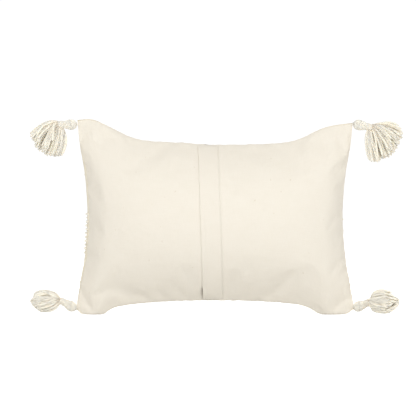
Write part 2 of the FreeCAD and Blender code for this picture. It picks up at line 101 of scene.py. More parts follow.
BACK, FRONT = -1, 1
COLUMNS, ROWS = 128, 76    # cells of each side's cloth
CLOTH_FRAMES = 16


def smooth(low, high, value):
    """0 at low, 1 at high, an S-curve between."""
    ratio = np.clip((value - low) / (high - low), 0.0, 1.0)
    return ratio * ratio * (3 - 2 * ratio)


def bell(value, centre, width):
    return np.exp(-(((value - centre) / width) ** 2))


def link(thing):
    bpy.context.scene.collection.objects.link(thing)


# ---- the crowned form

# A place on the cover is (turn, up), each -1..1 from seam to seam. turn is spaced so that
# its steps are even along the cloth, and across = sin(turn * 90 degrees) is even along X.


def seam_low(across):
    reach = np.abs(across)
    place, outer, inner = (
        np.where(across < 0, LEFT_FOOT[key], RIGHT_FOOT[key]) for key in ("place", "outer", "inner"))
    arch = BOTTOM_RISE * (1 - reach**2.4) + CORNER_LIFT * reach**14 - SEAM_DROOP * (1 - reach**2)
    return arch - FOOT_DIP * bell(reach, place, np.where(reach > place, outer, inner))


def ear(reach):
    return 1 / (1 + np.exp((SAG_PLACE - reach) / SAG_SPREAD))


def seam_high(across):
    reach = np.abs(across)
    raised = SAG_SHARE * ear(reach) / ear(1.0) + (1 - SAG_SHARE) * reach**2
    left = LEFT_RISE * smooth(0.0, 0.3, -across) + LEFT_EAR * bell(-across, 0.9, 0.09)
    return CORNER_TOP - TOP_SAG * (1 - raised) + left


def half_width(up):
    flare = CORNER_FLARE * bell(np.abs(up), 0.74, 0.2) - CORNER_ROUND * smooth(0.95, 1.0, np.abs(up))
    flare = flare + FOOT_FLARE * smooth(-0.76, -0.92, up)
    return HALF_WIDTH - SIDE_PULL * (1 - np.abs(up) ** 1.6) + flare


def crowned(turn, up, side, depth, edge=0.0, beside=0.0, floor=0.0):
    """Points of a crowned side; edge and beside inset it from the seams."""
    across = np.sin(turn * math.pi / 2)
    low, high = seam_low(across) + edge, seam_high(across) - edge
    half, middle = (high - low) / 2, (high + low) / 2
    full = np.maximum(1 - np.abs(across) ** 3, 0.0) ** 0.6
    bulge = np.maximum(depth * full, 1e-6)
    sweep = 2 * np.arctan(bulge / half)
    radius = half / np.sin(sweep)
    out = radius * np.cos(up * sweep) - (radius - bulge)
    height = middle + radius * np.sin(up * sweep) - floor
    height = floor + FLOOR_SOFTNESS * np.logaddexp(0, height / FLOOR_SOFTNESS)
    return np.stack([(half_width(up) - beside) * across, side * out, height], -1)


def closure_x(up):
    height = MID_HALF_HEIGHT * np.sin(up * math.asin(MID_HALF_HEIGHT / BACK_RADIUS))
    return CLOSURE_OFFSET - math.tan(CLOSURE_LEAN) * height


def closure_turn(offset, up):
    """The turn of a line beside the leaning closure, offset along X."""
    across = (closure_x(up) + offset) / half_width(up)
    return np.arcsin(across) * 2 / math.pi


def closure_distance(turn, up):
    return np.sin(turn * math.pi / 2) * half_width(up) - closure_x(up)


def grid_numbers(columns, rows):
    return np.arange(columns * rows).reshape(columns, rows)


def grid_faces(numbers, side):
    """Quads over a grid of vertex numbers, facing the given side."""
    quads = np.stack([numbers[:-1, :-1], numbers[1:, :-1], numbers[1:, 1:], numbers[:-1, 1:]], -1)
    quads = quads.reshape(-1, 4)
    return quads if side == BACK else quads[:, ::-1]


def blurred(field, reach):
    """A grid of vectors averaged over a window of about reach cells each way."""
    steps = np.arange(-2 * reach, 2 * reach + 1)
    weights = bell(steps, 0, reach)
    weights = weights / weights.sum()
    for axis in (0, 1):
        field = np.apply_along_axis(np.convolve, axis, field, weights, mode="same")
    return field


def puffed_cover():
    """Both sides of the cover after a short cloth simulation, pinned round the seam."""
    turn, up = np.meshgrid(np.linspace(-1, 1, COLUMNS + 1), np.linspace(-1, 1, ROWS + 1),
                           indexing="ij")
    rest = {BACK: crowned(turn, up, BACK, BACK_DEPTH), FRONT: crowned(turn, up, FRONT, FRONT_DEPTH)}
    inside = np.zeros(turn.shape, bool)
    inside[1:-1, 1:-1] = True
    numbers = {BACK: grid_numbers(*turn.shape)}
    numbers[FRONT] = numbers[BACK].copy()
    numbers[FRONT][inside] = turn.size + np.arange(inside.sum())
    points = np.concatenate([rest[BACK].reshape(-1, 3), rest[FRONT][inside]])
    points = points + np.random.default_rng(4).normal(0, 0.1 * MM, points.shape)
    faces = np.concatenate([grid_faces(numbers[side], side) for side in (BACK, FRONT)])
    mesh = bpy.data.meshes.new("cloth_start")
    mesh.from_pydata(points.tolist(), [], faces.tolist())
    cloth = bpy.data.objects.new("cloth_start", mesh)
    link(cloth)
    seam = cloth.vertex_groups.new(name="seam")
    rim = numbers[BACK][~inside]
    free = np.setdiff1d(np.arange(len(points)), rim)
    seam.add(rim.tolist(), 1.0, "REPLACE")
    seam.add(free.tolist(), 0.0, "REPLACE")
    modifier = cloth.modifiers.new("Cloth", "CLOTH")
    values = dict(
        quality=5, mass=0.2, tension_stiffness=40, compression_stiffness=40, shear_stiffness=15,
        bending_stiffness=8, tension_damping=10, compression_damping=10, shear_damping=10,
        bending_damping=1, air_damping=5, use_pressure=True, uniform_pressure_force=3,
        vertex_group_mass="seam", pin_stiffness=1,
        shrink_min=-0.009)    # the cloth is cut this share larger than the form
    for key, value in values.items():
        setattr(modifier.settings, key, value)
    modifier.settings.effector_weights.gravity = 0
    modifier.point_cache.frame_end = CLOTH_FRAMES
    for frame_number in range(1, CLOTH_FRAMES + 1):
        bpy.context.scene.frame_set(frame_number)
    settled = cloth.evaluated_get(bpy.context.evaluated_depsgraph_get())
    flat = np.empty(len(points) * 3, np.float32)
    settled.data.vertices.foreach_get("co", flat)
    moved = flat.reshape(-1, 3).astype(float)
    bpy.data.objects.remove(cloth)
    bpy.context.scene.frame_set(1)
    result = {}
    for side in (BACK, FRONT):
        change = moved[numbers[side]] - rest[side]
        wrinkles = change - 0.75 * blurred(change, 9)    # most of the broad swelling is left out
        from_rim = np.minimum(1 - np.abs(turn), 0.7 * (1 - np.abs(up)))
        kept = smooth(0.0, 0.07, from_rim)
        if side == BACK:    # the layers at the closure are too stiff to wrinkle much
            kept = kept * (1 - 0.85 * bell(closure_distance(turn, up), 0, 32 * MM))
        result[side] = rest[side] + wrinkles * kept[..., None]
        result[side][..., 2] = np.maximum(result[side][..., 2], 0.2 * MM)
    return result


COVER = puffed_cover()


def spline_weights(part):
    """Catmull-Rom weights of the four grid lines round a place."""
    square, cube = part**2, part**3
    return [
        (-cube + 2 * square - part) / 2, (3 * cube - 5 * square + 2) / 2,
        (-3 * cube + 4 * square + part) / 2, (cube - square) / 2,
    ]


def read_side(side, turn, up):
    grid = COVER[side]
    places = []
    for value, cells in ((turn, COLUMNS), (up, ROWS)):
        place = np.clip((value + 1) / 2 * cells, 0, cells)
        cell = np.minimum(place.astype(int), cells - 1)
        places.append((cell, spline_weights(place - cell), cells))
    (column, column_weights, columns), (row, row_weights, rows) = places
    total = 0.0
    for over, weight_over in enumerate(column_weights):
        line = np.clip(column + over - 1, 0, columns)
        for along, weight_along in enumerate(row_weights):
            knot = np.clip(row + along - 1, 0, rows)
            total = total + (weight_over * weight_along)[..., None] * grid[line, knot]
    return total


def cover_point(side, turn, up):
    """A point of the cover; a turn beyond -1 or 1 runs on round the seam."""
    turn, up = np.broadcast_arrays(np.asarray(turn, float), np.asarray(up, float))
    beyond = np.abs(turn) > 1
    folded = np.where(beyond, 2 * np.sign(turn) - turn, turn)
    return np.where(beyond[..., None], read_side(-side, folded, up), read_side(side, folded, up))


def cover_normal(side, turn, up):
    """The cover's outward direction at a place."""
    step = 0.004
    along_turn = cover_point(side, turn + step, up) - cover_point(side, turn - step, up)
    low, high = np.clip(up - step, -1, 1), np.clip(up + step, -1, 1)
    along_up = cover_point(side, turn, high) - cover_point(side, turn, low)
    normal = -side * np.cross(along_turn, along_up)
    return normal / np.maximum(np.linalg.norm(normal, axis=-1, keepdims=True), 1e-12)


# ---- meshes


def add_mesh(name, points, faces, slot, **attributes):
    """A smooth mesh object with named per-vertex values for its material."""
    mesh = bpy.data.meshes.new(name)
    mesh.from_pydata(np.asarray(points).tolist(), [], [tuple(face) for face in faces])
    mesh.polygons.foreach_set("use_smooth", [True] * len(mesh.polygons))
    for key, values in attributes.items():
        values = np.asarray(values, np.float32)
        scalar = values.ndim == 1
        kind, field = ("FLOAT", "value") if scalar else ("FLOAT_VECTOR", "vector")
        mesh.attributes.new(key, kind, "POINT").data.foreach_set(field, values.ravel())
    mesh.materials.append(MATERIALS[slot])
    thing = bpy.data.objects.new(name, mesh)
    link(thing)
    return thing


def declare_padded(piece, node):
    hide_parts(node)
    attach(piece, "cover")


def grid_normals(points, side):
    normal = -side * np.cross(np.gradient(points, axis=0), np.gradient(points, axis=1))
    return normal / np.maximum(np.linalg.norm(normal, axis=-1, keepdims=True), 1e-12)


def rim_walls(numbers, under):
    """Quads between a grid's rim and the same rim of a grid numbered that much on."""
    rim = np.concatenate([numbers[:, 0], numbers[-1, 1:], numbers[-2::-1, -1], numbers[0, -2:0:-1]])
    after = np.roll(rim, -1)
    return np.stack([rim, rim + under, after + under, after], -1)


def weave_place(turn, up):
    """Where points lie on the cut panel, for their weave."""
    return np.stack([turn * CUT_WIDTH / 2, up * CUT_HEIGHT / 2, np.zeros_like(turn)], -1).reshape(-1, 3)


def cloth_shell(outer, side, thickness):
    """Points and faces of a closed piece of cloth under a grid of outer points."""
    inner = outer - grid_normals(outer, side) * thickness
    top = grid_numbers(*outer.shape[:2])
    under = top + top.size
    walls = rim_walls(top, top.size)
    if side == FRONT:
        walls = walls[:, ::-1]
    faces = np.concatenate([grid_faces(top, side), grid_faces(under, -side), walls])
    return np.concatenate([outer.reshape(-1, 3), inner.reshape(-1, 3)]), faces


def stations(count, length):
    """Shares 0..1 along a panel, with close steps beside both seams."""
    close = np.array([0.0, 0.5, 1.1, 1.9, 3.0, 4.6]) * MM / length
    even = np.linspace(0, 1, count + 1)
    even = even[(even > close[-1] * 1.2) & (even < 1 - close[-1] * 1.2)]
    return np.concatenate([close, even, 1 - close[::-1]])


def pucker(along, seed, longest, shortest):
    """An uneven wave along a seam, about -1..1."""
    rng = np.random.default_rng(seed)
    wave = 0.0
    for length in np.geomspace(longest, shortest, 6):
        swell = 0.5 + 0.5 * np.sin(along / length * 1.7 + rng.uniform(0, 6.28))
        wave = wave + swell * np.sin(2 * math.pi * along / length + rng.uniform(0, 6.28))
    return wave / 2.2


def seam_relief(turn, up, from_left, from_right, from_low, from_high):
    """Height of a sewn panel's relief: a groove at each seam and the gathers beside it."""
    groove = 0.0
    for distance in (from_left, from_right, from_low, from_high):
        if distance is not None:
            groove = groove - SEAM_GROOVE * bell(distance, 0, SEAM_GROOVE_WIDTH)
    x, z = turn * CUT_WIDTH / 2, up * CUT_HEIGHT / 2
    gathered = 1 + 1.3 * bell(x, -30 * MM, 70 * MM)
    waves = 0.38 * MM * gathered * pucker(x, 21, 26 * MM, 9 * MM) * np.exp(-from_high / (13 * MM))
    creased = 1 + 0.8 * bell(x, CLOSURE_OFFSET, 50 * MM)
    waves += 0.4 * MM * creased * pucker(x, 22, 30 * MM, 10 * MM) * np.exp(-from_low / (12 * MM))
    for distance, seed in ((from_left, 23), (from_right, 24)):
        if distance is not None:
            waves = waves + 0.25 * MM * pucker(z, seed, 28 * MM, 10 * MM) * np.exp(-distance / (10 * MM))
    return groove + waves


def closure_end(up):
    """1 along the open closure, fading to 0 where its ends are sewn into the seams."""
    return smooth(1.0, 0.93, np.abs(up))


def gape(up):
    """The short stretch near the bottom where the lap stands open."""
    return bell(up, -0.86, 0.085)


def left_sink(offset, up):
    """How far the left panel sinks beside and under the lap."""
    under = ZIP_SINK * smooth(-17.6 * MM, -8.5 * MM, offset)
    valley = 0.85 * MM * bell(np.minimum(offset, -LAP_HALF_WIDTH), -LAP_HALF_WIDTH, 6 * MM)
    slit = 2.6 * MM * gape(up) * smooth(-22 * MM, -LAP_HALF_WIDTH, offset)
    return (under + valley + slit) * closure_end(up)


def right_sink(offset, up):
    """How far the right panel sinks under the lap, in a step at the stitching."""
    first = 1.6 * MM
    step = first * smooth(LAP_ROOT, 17.2 * MM, offset)
    under = (ZIP_SINK - first) * smooth(16 * MM, 8 * MM, offset)
    ditch = 0.2 * MM * bell(offset, 18.4 * MM, 1.6 * MM)
    return (step + under) * closure_end(up) + ditch


def panel(name, side, start, end, columns, thickness, slot, sewn, sink=None):
    """One cloth panel of the cover between the turns start(up) and end(up)."""
    up_length = 2 * BACK_RADIUS * math.asin(MID_HALF_HEIGHT / BACK_RADIUS)
    up_share = stations(PANEL_ROWS, up_length)
    up = 2 * up_share[None] - 1
    width = float(end(np.zeros(1))[0] - start(np.zeros(1))[0]) * CUT_WIDTH / 2
    share = stations(columns, width)[:, None]
    turn = start(up) + (end(up) - start(up)) * share
    up = np.broadcast_to(up, turn.shape)
    outer = cover_point(side, turn, up)
    lift = seam_relief(
        turn, up,
        share * width if sewn[0] else None, (1 - share) * width if sewn[1] else None,
        up_share * up_length, (1 - up_share) * up_length)
    if sink is not None:
        lift = lift - sink(closure_distance(turn, up), up)
    outer = outer + cover_normal(side, turn, up) * lift[..., None]
    outer[..., 2] = np.maximum(outer[..., 2], 0.15 * MM)
    # Near the seams the two sides close up, and each cloth is pressed thinner.
    pressed = np.clip(0.4 * np.abs(outer[..., 1:2]), 0.15 * MM, thickness)
    points, faces = cloth_shell(outer, side, pressed)
    points[:, 2] = np.maximum(points[:, 2], 0.05 * MM)
    piece = add_mesh(name, points, faces, slot, weave=np.tile(weave_place(turn, up), (2, 1)))
    declare_padded(piece, name)


def side_wrap(up):
    """Extra turn that the front cloth takes round the left side, none at the corners."""
    return SIDE_WRAP * smooth(-0.98, -0.6, up) * smooth(0.98, 0.55, up)


# ---- yarn


def frames_along(path):
    """Two unit vectors square to a path at each of its points, turning with it."""
    ahead = np.gradient(path, axis=0)
    ahead /= np.maximum(np.linalg.norm(ahead, axis=1, keepdims=True), 1e-12)
    first = np.cross(ahead[0], [0.31, 0.87, 0.38])
    across = [first / np.linalg.norm(first)]
    for direction in ahead[1:]:
        level = across[-1] - direction * np.dot(across[-1], direction)
        across.append(level / np.linalg.norm(level))
    across = np.array(across)
    return across, np.cross(ahead, across)


def tubes(paths, radii, sides=8):
    """One mesh of round strands: points, faces and the values its material reads."""
    points, faces, yarn, shade = [], [], [], []
    angle = np.arange(sides) * 2 * math.pi / sides
    ring = np.stack([np.cos(angle), np.sin(angle)], -1)
    start = 0
    for index, (path, radius) in enumerate(zip(paths, radii)):
        across, upright = frames_along(path)
        radius = np.broadcast_to(radius, len(path))
        spokes = ring[None, :, 0, None] * across[:, None] + ring[None, :, 1, None] * upright[:, None]
        points.append((path[:, None] + spokes * radius[:, None, None]).reshape(-1, 3))
        steps = np.linalg.norm(np.diff(path, axis=0), axis=1)
        along = np.concatenate([[0.0], np.cumsum(steps)])
        block = np.concatenate([
            np.broadcast_to(ring, (len(path), sides, 2)),
            np.broadcast_to(along[:, None, None], (len(path), sides, 1))], -1)
        yarn.append(block.reshape(-1, 3))
        shade.append(np.full(len(path) * sides, (index * 0.618034) % 1.0))
        numbers = start + grid_numbers(len(path), sides)
        joined = np.concatenate([numbers, numbers[:, :1]], 1)
        quads = np.stack([joined[:-1, :-1], joined[:-1, 1:], joined[1:, 1:], joined[1:, :-1]], -1)
        faces.extend(quads.reshape(-1, 4).tolist())
        faces.append(numbers[0, ::-1].tolist())
        faces.append(numbers[-1].tolist())
        start += len(path) * sides
    return np.concatenate(points), faces, np.concatenate(yarn), np.concatenate(shade)


def add_yarn(name, paths, radii, body, node=None, sides=8, slot="tassel_yarn", deep=None):
    """Strands of yarn as one piece riding on a body; the painted shade share is 1 where a bundle shades
    them.
    """
    points, faces, yarn, shade = tubes(paths, radii, sides)
    points[:, 2] = np.maximum(points[:, 2], 0.1 * MM)
    if deep is None:
        deep = np.zeros(len(points))
    piece = add_mesh(name, points, faces, slot, yarn=yarn, shade=shade, deep=deep)
    if node:
        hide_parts(node)
    if body:
        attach(piece, body)
    return piece


def circle(angle, first, second):
    """Unit vectors at the given angles between two that are square to each other."""
    return np.cos(angle)[:, None] * first + np.sin(angle)[:, None] * second


def bezier(knots, count):
    """Points of the Bezier curve that its control points draw."""
    share = np.linspace(0, 1, count)[:, None]
    last = len(knots) - 1
    return sum(math.comb(last, index) * share**index * (1 - share) ** (last - index) * knot
               for index, knot in enumerate(knots))


def unit(vector):
    return np.asarray(vector, float) / np.linalg.norm(vector)


# ---- node materials


class Graph:
    """Short names for building the nodes of a world or a material."""

    def __init__(self, owner):
        owner.use_nodes = True
        self.tree = owner.node_tree

    def node(self, kind, **settings):
        made = self.tree.nodes.new("ShaderNode" + kind)
        for key, value in settings.items():
            setattr(made, key, value)
        return made

    def join(self, source, target):
        """Set a socket to a value, or link another to it."""
        if isinstance(source, (int, float, tuple)):
            target.default_value = source
        else:
            self.tree.links.new(source, target)

    def feed(self, made, sources, output=0):
        """Join sources to a node's inputs by name or number, and give one of its outputs."""
        for key, source in sources.items():
            self.join(source, made.inputs[key])
        return made.outputs[output]

    def math(self, operation, first, second=0.0, third=0.0):
        return self.feed(self.node("Math", operation=operation), {0: first, 1: second, 2: third})

    def attribute(self, name):
        return self.node("Attribute", attribute_name=name)

    def own_place(self):
        return self.node("TexCoord").outputs["Object"]

    def parts(self, vector):
        made = self.node("SeparateXYZ")
        self.join(vector, made.inputs[0])
        return made.outputs

    def scaled(self, vector, scale):
        return self.feed(self.node("VectorMath", operation="MULTIPLY"), {0: vector, 1: scale})

    def noise(self, vector, scale, detail=3.0, roughness=0.55):
        sources = {"Vector": vector, "Scale": scale, "Detail": detail, "Roughness": roughness}
        return self.feed(self.node("TexNoise"), sources, "Fac")

    def mix(self, share, first, second):
        return self.feed(self.node("Mix", data_type="RGBA"), {0: share, 6: first, 7: second}, 2)

    def ramp(self, value, low, high):
        made = self.node("MapRange", interpolation_type="SMOOTHSTEP")
        return self.feed(made, {0: value, 1: low, 2: high})

    def bump(self, height, distance, strength=1.0, under=None):
        sources = {"Strength": strength, "Distance": distance, "Height": height}
        if under is not None:
            sources["Normal"] = under
        return self.feed(self.node("Bump"), sources)


class Surface(Graph):
    """A new material's nodes, round its Principled shader."""

    def __init__(self, name, roughness, sheen):
        self.material = bpy.data.materials.new(name)
        super().__init__(self.material)
        self.shader = self.tree.nodes["Principled BSDF"]
        for key, value in (("Roughness", roughness), ("Sheen Weight", sheen),
                           ("Sheen Roughness", 0.4), ("Specular IOR Level", 0.25)):
            self.shader.inputs[key].default_value = value

    def finish(self, color, normal, roughness=None):
        self.join(color, self.shader.inputs["Base Color"])
        self.join(normal, self.shader.inputs["Normal"])
        if roughness is not None:
            self.join(roughness, self.shader.inputs["Roughness"])
        return self.material


def rgb(red, green, blue):
    return (red, green, blue, 1.0)


def plain_weave(graph, vector, pitch):
    """Height of a plain weave: warp threads over on one square, weft on the next."""
    x, y, _ = graph.parts(vector)
    step = math.pi / pitch
    over = graph.math("SINE", graph.math("MULTIPLY", x, step))
    along = graph.math("SINE", graph.math("MULTIPLY", y, step))
    square = graph.ramp(graph.math("MULTIPLY", over, along), -0.25, 0.25)
    warp = graph.math("ABSOLUTE", over)
    weft = graph.math("ABSOLUTE", along)
    kept = graph.math("MULTIPLY", warp, square)
    return graph.math("MULTIPLY_ADD", weft, graph.math("SUBTRACT", 1.0, square), kept)


def slubs(graph, vector, pitch):
    """Uneven threads: noise drawn out along the warp and along the weft."""
    warp = graph.noise(graph.scaled(vector, (1 / pitch, 0.06 / pitch, 1)), 0.9, 2.0)
    weft = graph.noise(graph.scaled(vector, (0.05 / pitch, 1 / pitch, 1)), 0.9, 2.0)
    return graph.math("ADD", warp, weft)


def woven(name, light, dark, speck, pitch, relief, sheen=0.35):
    """A woven cotton: thread relief, painted shade where the threads dip under, slubs, soft mottling and
    a few specks.
    """
    graph = Surface(name, 0.88, sheen)
    place = graph.attribute("weave").outputs["Vector"]
    threads = plain_weave(graph, place, pitch)
    uneven = slubs(graph, place, pitch)
    mottle = graph.noise(place, 38.0, 4.0)
    fine = graph.noise(place, 900.0, 2.0)
    share = graph.math("MULTIPLY_ADD", graph.ramp(uneven, 0.7, 1.35), 0.4,
                       graph.math("MULTIPLY", graph.ramp(mottle, 0.25, 0.75), 0.25))
    # painted shade: the colour darkens where the threads dip under each other
    share = graph.math("MULTIPLY_ADD", threads, -0.18, graph.math("ADD", share, 0.15))
    cloth = graph.mix(share, light, dark)
    dot = graph.ramp(graph.noise(graph.scaled(place, (1, 0.45, 1)), 170.0, 1.0), 0.755, 0.80)
    color = graph.mix(graph.math("MULTIPLY", dot, 0.45), cloth, speck)
    normal = graph.bump(mottle, 0.6 * MM, 0.25)
    normal = graph.bump(uneven, relief, 0.6, normal)
    normal = graph.bump(threads, relief, 0.8, normal)
    normal = graph.bump(fine, relief * 0.4, 0.5, normal)
    rough = graph.math("MULTIPLY_ADD", fine, 0.14, 0.8)
    return graph.finish(color, normal, rough)


def spun(name, light, dark, painted_shade_tint, pitch, relief):
    """Spun yarn: a two-ply twist, loose fibres, and a painted warm shade near each root and in the ply's
    valleys.
    """
    graph = Surface(name, 0.9, 0.3)
    graph.shader.inputs["Subsurface Weight"].default_value = 0.5
    graph.shader.inputs["Subsurface Radius"].default_value = (1.0, 0.9, 0.8)
    graph.shader.inputs["Subsurface Scale"].default_value = 3 * MM
    values = graph.attribute("yarn").outputs["Vector"]
    cosine, sine, along = graph.parts(values)
    angle = graph.math("ARCTAN2", sine, cosine)
    phase = graph.math("MULTIPLY_ADD", along, 2 * math.pi / pitch, angle)
    ply = graph.math("MULTIPLY_ADD", graph.math("COSINE", graph.math("MULTIPLY", phase, 2.0)), 0.5, 0.5)
    hairs = graph.noise(graph.scaled(values, (1.6, 1.6, 60.0)), 2.0, 3.0, 0.6)
    strand = graph.attribute("shade").outputs["Fac"]
    tone = graph.math("MULTIPLY_ADD", hairs, 0.5, graph.math("MULTIPLY", strand, 0.5))
    base = graph.mix(tone, light, dark)
    # painted shade: a warm darker colour near each root, where the bundle shades the strands, plus a
    # little in the ply's valleys
    root = graph.attribute("deep").outputs["Fac"]
    valley = graph.ramp(ply, 0.5, 0.0)
    deep = graph.math("MULTIPLY_ADD", root, 0.5, graph.math("MULTIPLY", valley, 0.08))
    color = graph.mix(deep, base, painted_shade_tint)
    normal = graph.bump(ply, relief, 0.7)
    normal = graph.bump(hairs, relief * 0.5, 0.5, normal)
    return graph.finish(color, normal, graph.math("MULTIPLY_ADD", hairs, 0.15, 0.78))


def loose_fibre():
    graph = Surface("fibre_fill", 0.95, 0.5)
    place = graph.own_place()
    cloud = graph.noise(place, 60.0, 6.0, 0.7)
    color = graph.mix(cloud, rgb(0.86, 0.86, 0.84), rgb(0.95, 0.95, 0.94))
    return graph.finish(color, graph.bump(cloud, 2 * MM, 0.6))


def twill_tape():
    """Zip tape: fine diagonal twill in object space, with painted shade in the twill's grooves."""
    graph = Surface("zip_tape", 0.8, 0.2)
    place = graph.own_place()
    x, _, z = graph.parts(place)
    diagonal = graph.math("ADD", x, graph.math("MULTIPLY", z, 0.7))
    ridge = graph.math("SINE", graph.math("MULTIPLY", diagonal, 2 * math.pi / (0.8 * MM)))
    height = graph.math("MULTIPLY_ADD", ridge, 0.5, 0.5)
    # painted shade: darker colour in the grooves between the ridges
    color = graph.mix(height, rgb(0.70, 0.65, 0.56), rgb(0.80, 0.76, 0.67))
    return graph.finish(color, graph.bump(height, 0.12 * MM, 0.7))


def moulded_nylon():
    graph = Surface("zip_nylon", 0.35, 0.0)
    place = graph.own_place()
    haze = graph.noise(place, 500.0, 2.0)
    color = graph.mix(haze, rgb(0.76, 0.72, 0.63), rgb(0.83, 0.79, 0.71))
    return graph.finish(color, graph.bump(haze, 0.05 * MM, 0.4))


def brushed_metal():
    graph = Surface("zip_metal", 0.32, 0.0)
    graph.shader.inputs["Metallic"].default_value = 1.0
    place = graph.own_place()
    grain = graph.noise(graph.scaled(place, (60, 60, 900)), 8.0, 3.0)
    wear = graph.noise(place, 240.0, 4.0)
    color = graph.mix(wear, rgb(0.56, 0.55, 0.52), rgb(0.72, 0.71, 0.68))
    rough = graph.math("MULTIPLY_ADD", wear, 0.25, 0.2)
    return graph.finish(color, graph.bump(grain, 0.04 * MM, 0.4), rough)


def make_materials():
    # the cream's second colour holds its darker slubs and mottling and the painted shade between the
    # threads
    cream, cream_slub_and_shade, speck = rgb(0.855, 0.815, 0.735), rgb(0.815, 0.768, 0.675), rgb(0.66, 0.58, 0.46)
    # the third yarn colour is the painted warm shade near the roots and in the ply's valleys
    yarn_light, yarn_dark, yarn_painted_shade_tint = (
        rgb(0.985, 0.935, 0.83), rgb(0.965, 0.905, 0.78), rgb(0.93, 0.74, 0.52))
    return {
        "back_cotton": woven("back_cotton", cream, cream_slub_and_shade, speck, 0.85 * MM, 0.09 * MM),
        "front_cotton": woven("front_cotton", rgb(0.90, 0.85, 0.72), rgb(0.85, 0.78, 0.62),
                              speck, 2.2 * MM, 0.35 * MM, 0.4),
        "casing_cotton": woven("casing_cotton", rgb(0.86, 0.86, 0.85), rgb(0.78, 0.78, 0.77),
                               rgb(0.6, 0.6, 0.6), 0.7 * MM, 0.06 * MM, 0.2),
        "fibre_fill": loose_fibre(),
        "zip_tape": twill_tape(),
        "zip_nylon": moulded_nylon(),
        "zip_metal": brushed_metal(),
        # the thread's third colour is the painted shade in its ply's valleys
        "thread": spun("thread", rgb(0.88, 0.84, 0.76), rgb(0.80, 0.75, 0.66),
                       rgb(0.74, 0.68, 0.58), 0.9 * MM, 0.06 * MM),
        "tassel_yarn": spun("tassel_yarn", yarn_light, yarn_dark, yarn_painted_shade_tint, 4.2 * MM, 0.16 * MM),
    }


MATERIALS = make_materials()


def dress(node, material):
    """Give a CAD node that stays as it is its material."""
    slots = frame["nodes"][node].data.materials
    slots.clear()
    slots.append(MATERIALS[material])


# ---- the cover and its lap


def make_cover():
    panel("front_panel", FRONT, lambda up: -1 - side_wrap(up), lambda up: 1 + 0 * up,
          170, FRONT_CLOTH, "front_cotton", (True, True))
    panel("back_panel_left", BACK, lambda up: -1 + side_wrap(up),
          lambda up: closure_turn(-FOLD_OFFSET, up),
          96, BACK_CLOTH, "back_cotton", (True, False), left_sink)
    panel("back_panel_right", BACK, lambda up: closure_turn(FOLD_OFFSET, up), lambda up: 1 + 0 * up,
          110, BACK_CLOTH, "back_cotton", (False, True), right_sink)


def lap_top(offset, up):
    """Height of the lap's upper face: a low crown, a stitch groove and a faint ridge line."""
    share = np.clip((LAP_HALF_WIDTH - offset) / (2 * LAP_HALF_WIDTH), 0, 1)    # 1 at the free edge
    crown = 0.3 * MM * share + 0.9 * MM * np.sin(math.pi * share) ** 0.8
    lifted = 2.4 * MM * gape(up) * share**2
    fade = closure_end(up)
    groove = 0.5 * MM * bell(offset, LAP_HALF_WIDTH, 1.1 * MM)
    under_edge = 0.35 * MM * bell(offset, -11 * MM, 1.2 * MM) * smooth(0.5, 0.1, up)
    return (crown + lifted) * fade - groove - under_edge - 0.9 * MM * (1 - fade)


def lap_section(offset, lift, up):
    turn = closure_turn(offset, up)
    return cover_point(BACK, turn, up) + cover_normal(BACK, turn, up) * lift[..., None]


def make_lap():
    """The folded hem over the zip: two plies joined by a rounded fold at the free edge."""
    rows = 96
    up = np.linspace(-0.993, 0.993, rows)[None, :]
    flat = np.concatenate([np.linspace(LAP_ROOT, 16 * MM, 8), np.linspace(15 * MM, -LAP_HALF_WIDTH, 22)])
    half = LAP_PLIES / 2
    # each line of the lap's section: its offset, and how far it lies under the upper face
    lines = [(offset, 0.0) for offset in flat]
    for angle in np.linspace(0, math.pi, 6)[1:-1]:
        lines.append((-LAP_HALF_WIDTH - half * math.sin(angle), half - half * math.cos(angle)))
    lines += [(offset, LAP_PLIES) for offset in flat[::-3]]
    wander = 0.5 * MM * pucker(up * CUT_HEIGHT / 2, 31, 90 * MM, 30 * MM)
    rings = []
    for offset, under in lines:
        free = smooth(LAP_HALF_WIDTH, -LAP_HALF_WIDTH, offset)
        beside = offset + wander * free
        rings.append(lap_section(beside, lap_top(beside, up) - under, up)[0])
    rings = np.array(rings)
    numbers = grid_numbers(len(lines), rows)
    joined = np.concatenate([numbers, numbers[:1]], 0)
    faces = grid_faces(joined, FRONT).tolist()
    faces.append(numbers[:, 0].tolist())
    faces.append(numbers[::-1, -1].tolist())
    rings[..., 2] = np.maximum(rings[..., 2], 0.15 * MM)
    offsets = np.array([offset for offset, _ in lines])[:, None] + 0 * up
    weave = np.stack([offsets, np.broadcast_to(up * CUT_HEIGHT / 2, offsets.shape),
                      np.zeros_like(offsets)], -1).reshape(-1, 3)
    lap = add_mesh("zip_lap", rings.reshape(-1, 3), faces, "back_cotton", weave=weave)
    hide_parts("zip_lap")
    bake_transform(lap)


def make_lap_stitches():
    """Lockstitches along the lap's root, each a short thread that dips in at its ends."""
    count, reach = 78, 0.975
    pitch = 2 * reach / count
    half_stitch = 0.42    # as a share of the pitch
    share = np.linspace(-half_stitch, half_stitch, 7)
    root = np.full(len(share), LAP_HALF_WIDTH)
    paths = []
    for index in range(count):
        up = -reach + pitch * (index + 0.5) + pitch * share
        lift = lap_top(root, up) + 0.28 * MM - 0.75 * MM * (share / half_stitch) ** 4
        paths.append(lap_section(root, lift, up))
    add_yarn("lap_stitches", paths, [0.3 * MM] * count, "cover", "lap_stitches", 6, "thread")


# ---- front loops


def row_places(up, start, spacing, rng):
    """Turns of evenly spaced loops along one row of the front."""
    fine = np.linspace(start, 0.93, 500)
    line = cover_point(FRONT, fine, np.full(500, up))
    run = np.concatenate([[0.0], np.cumsum(np.linalg.norm(np.diff(line, axis=0), axis=1))])
    wanted = np.arange(spacing / 2, run[-1], spacing)
    wanted = wanted + rng.normal(0, 0.4 * MM, len(wanted))
    return np.interp(wanted, run, fine)


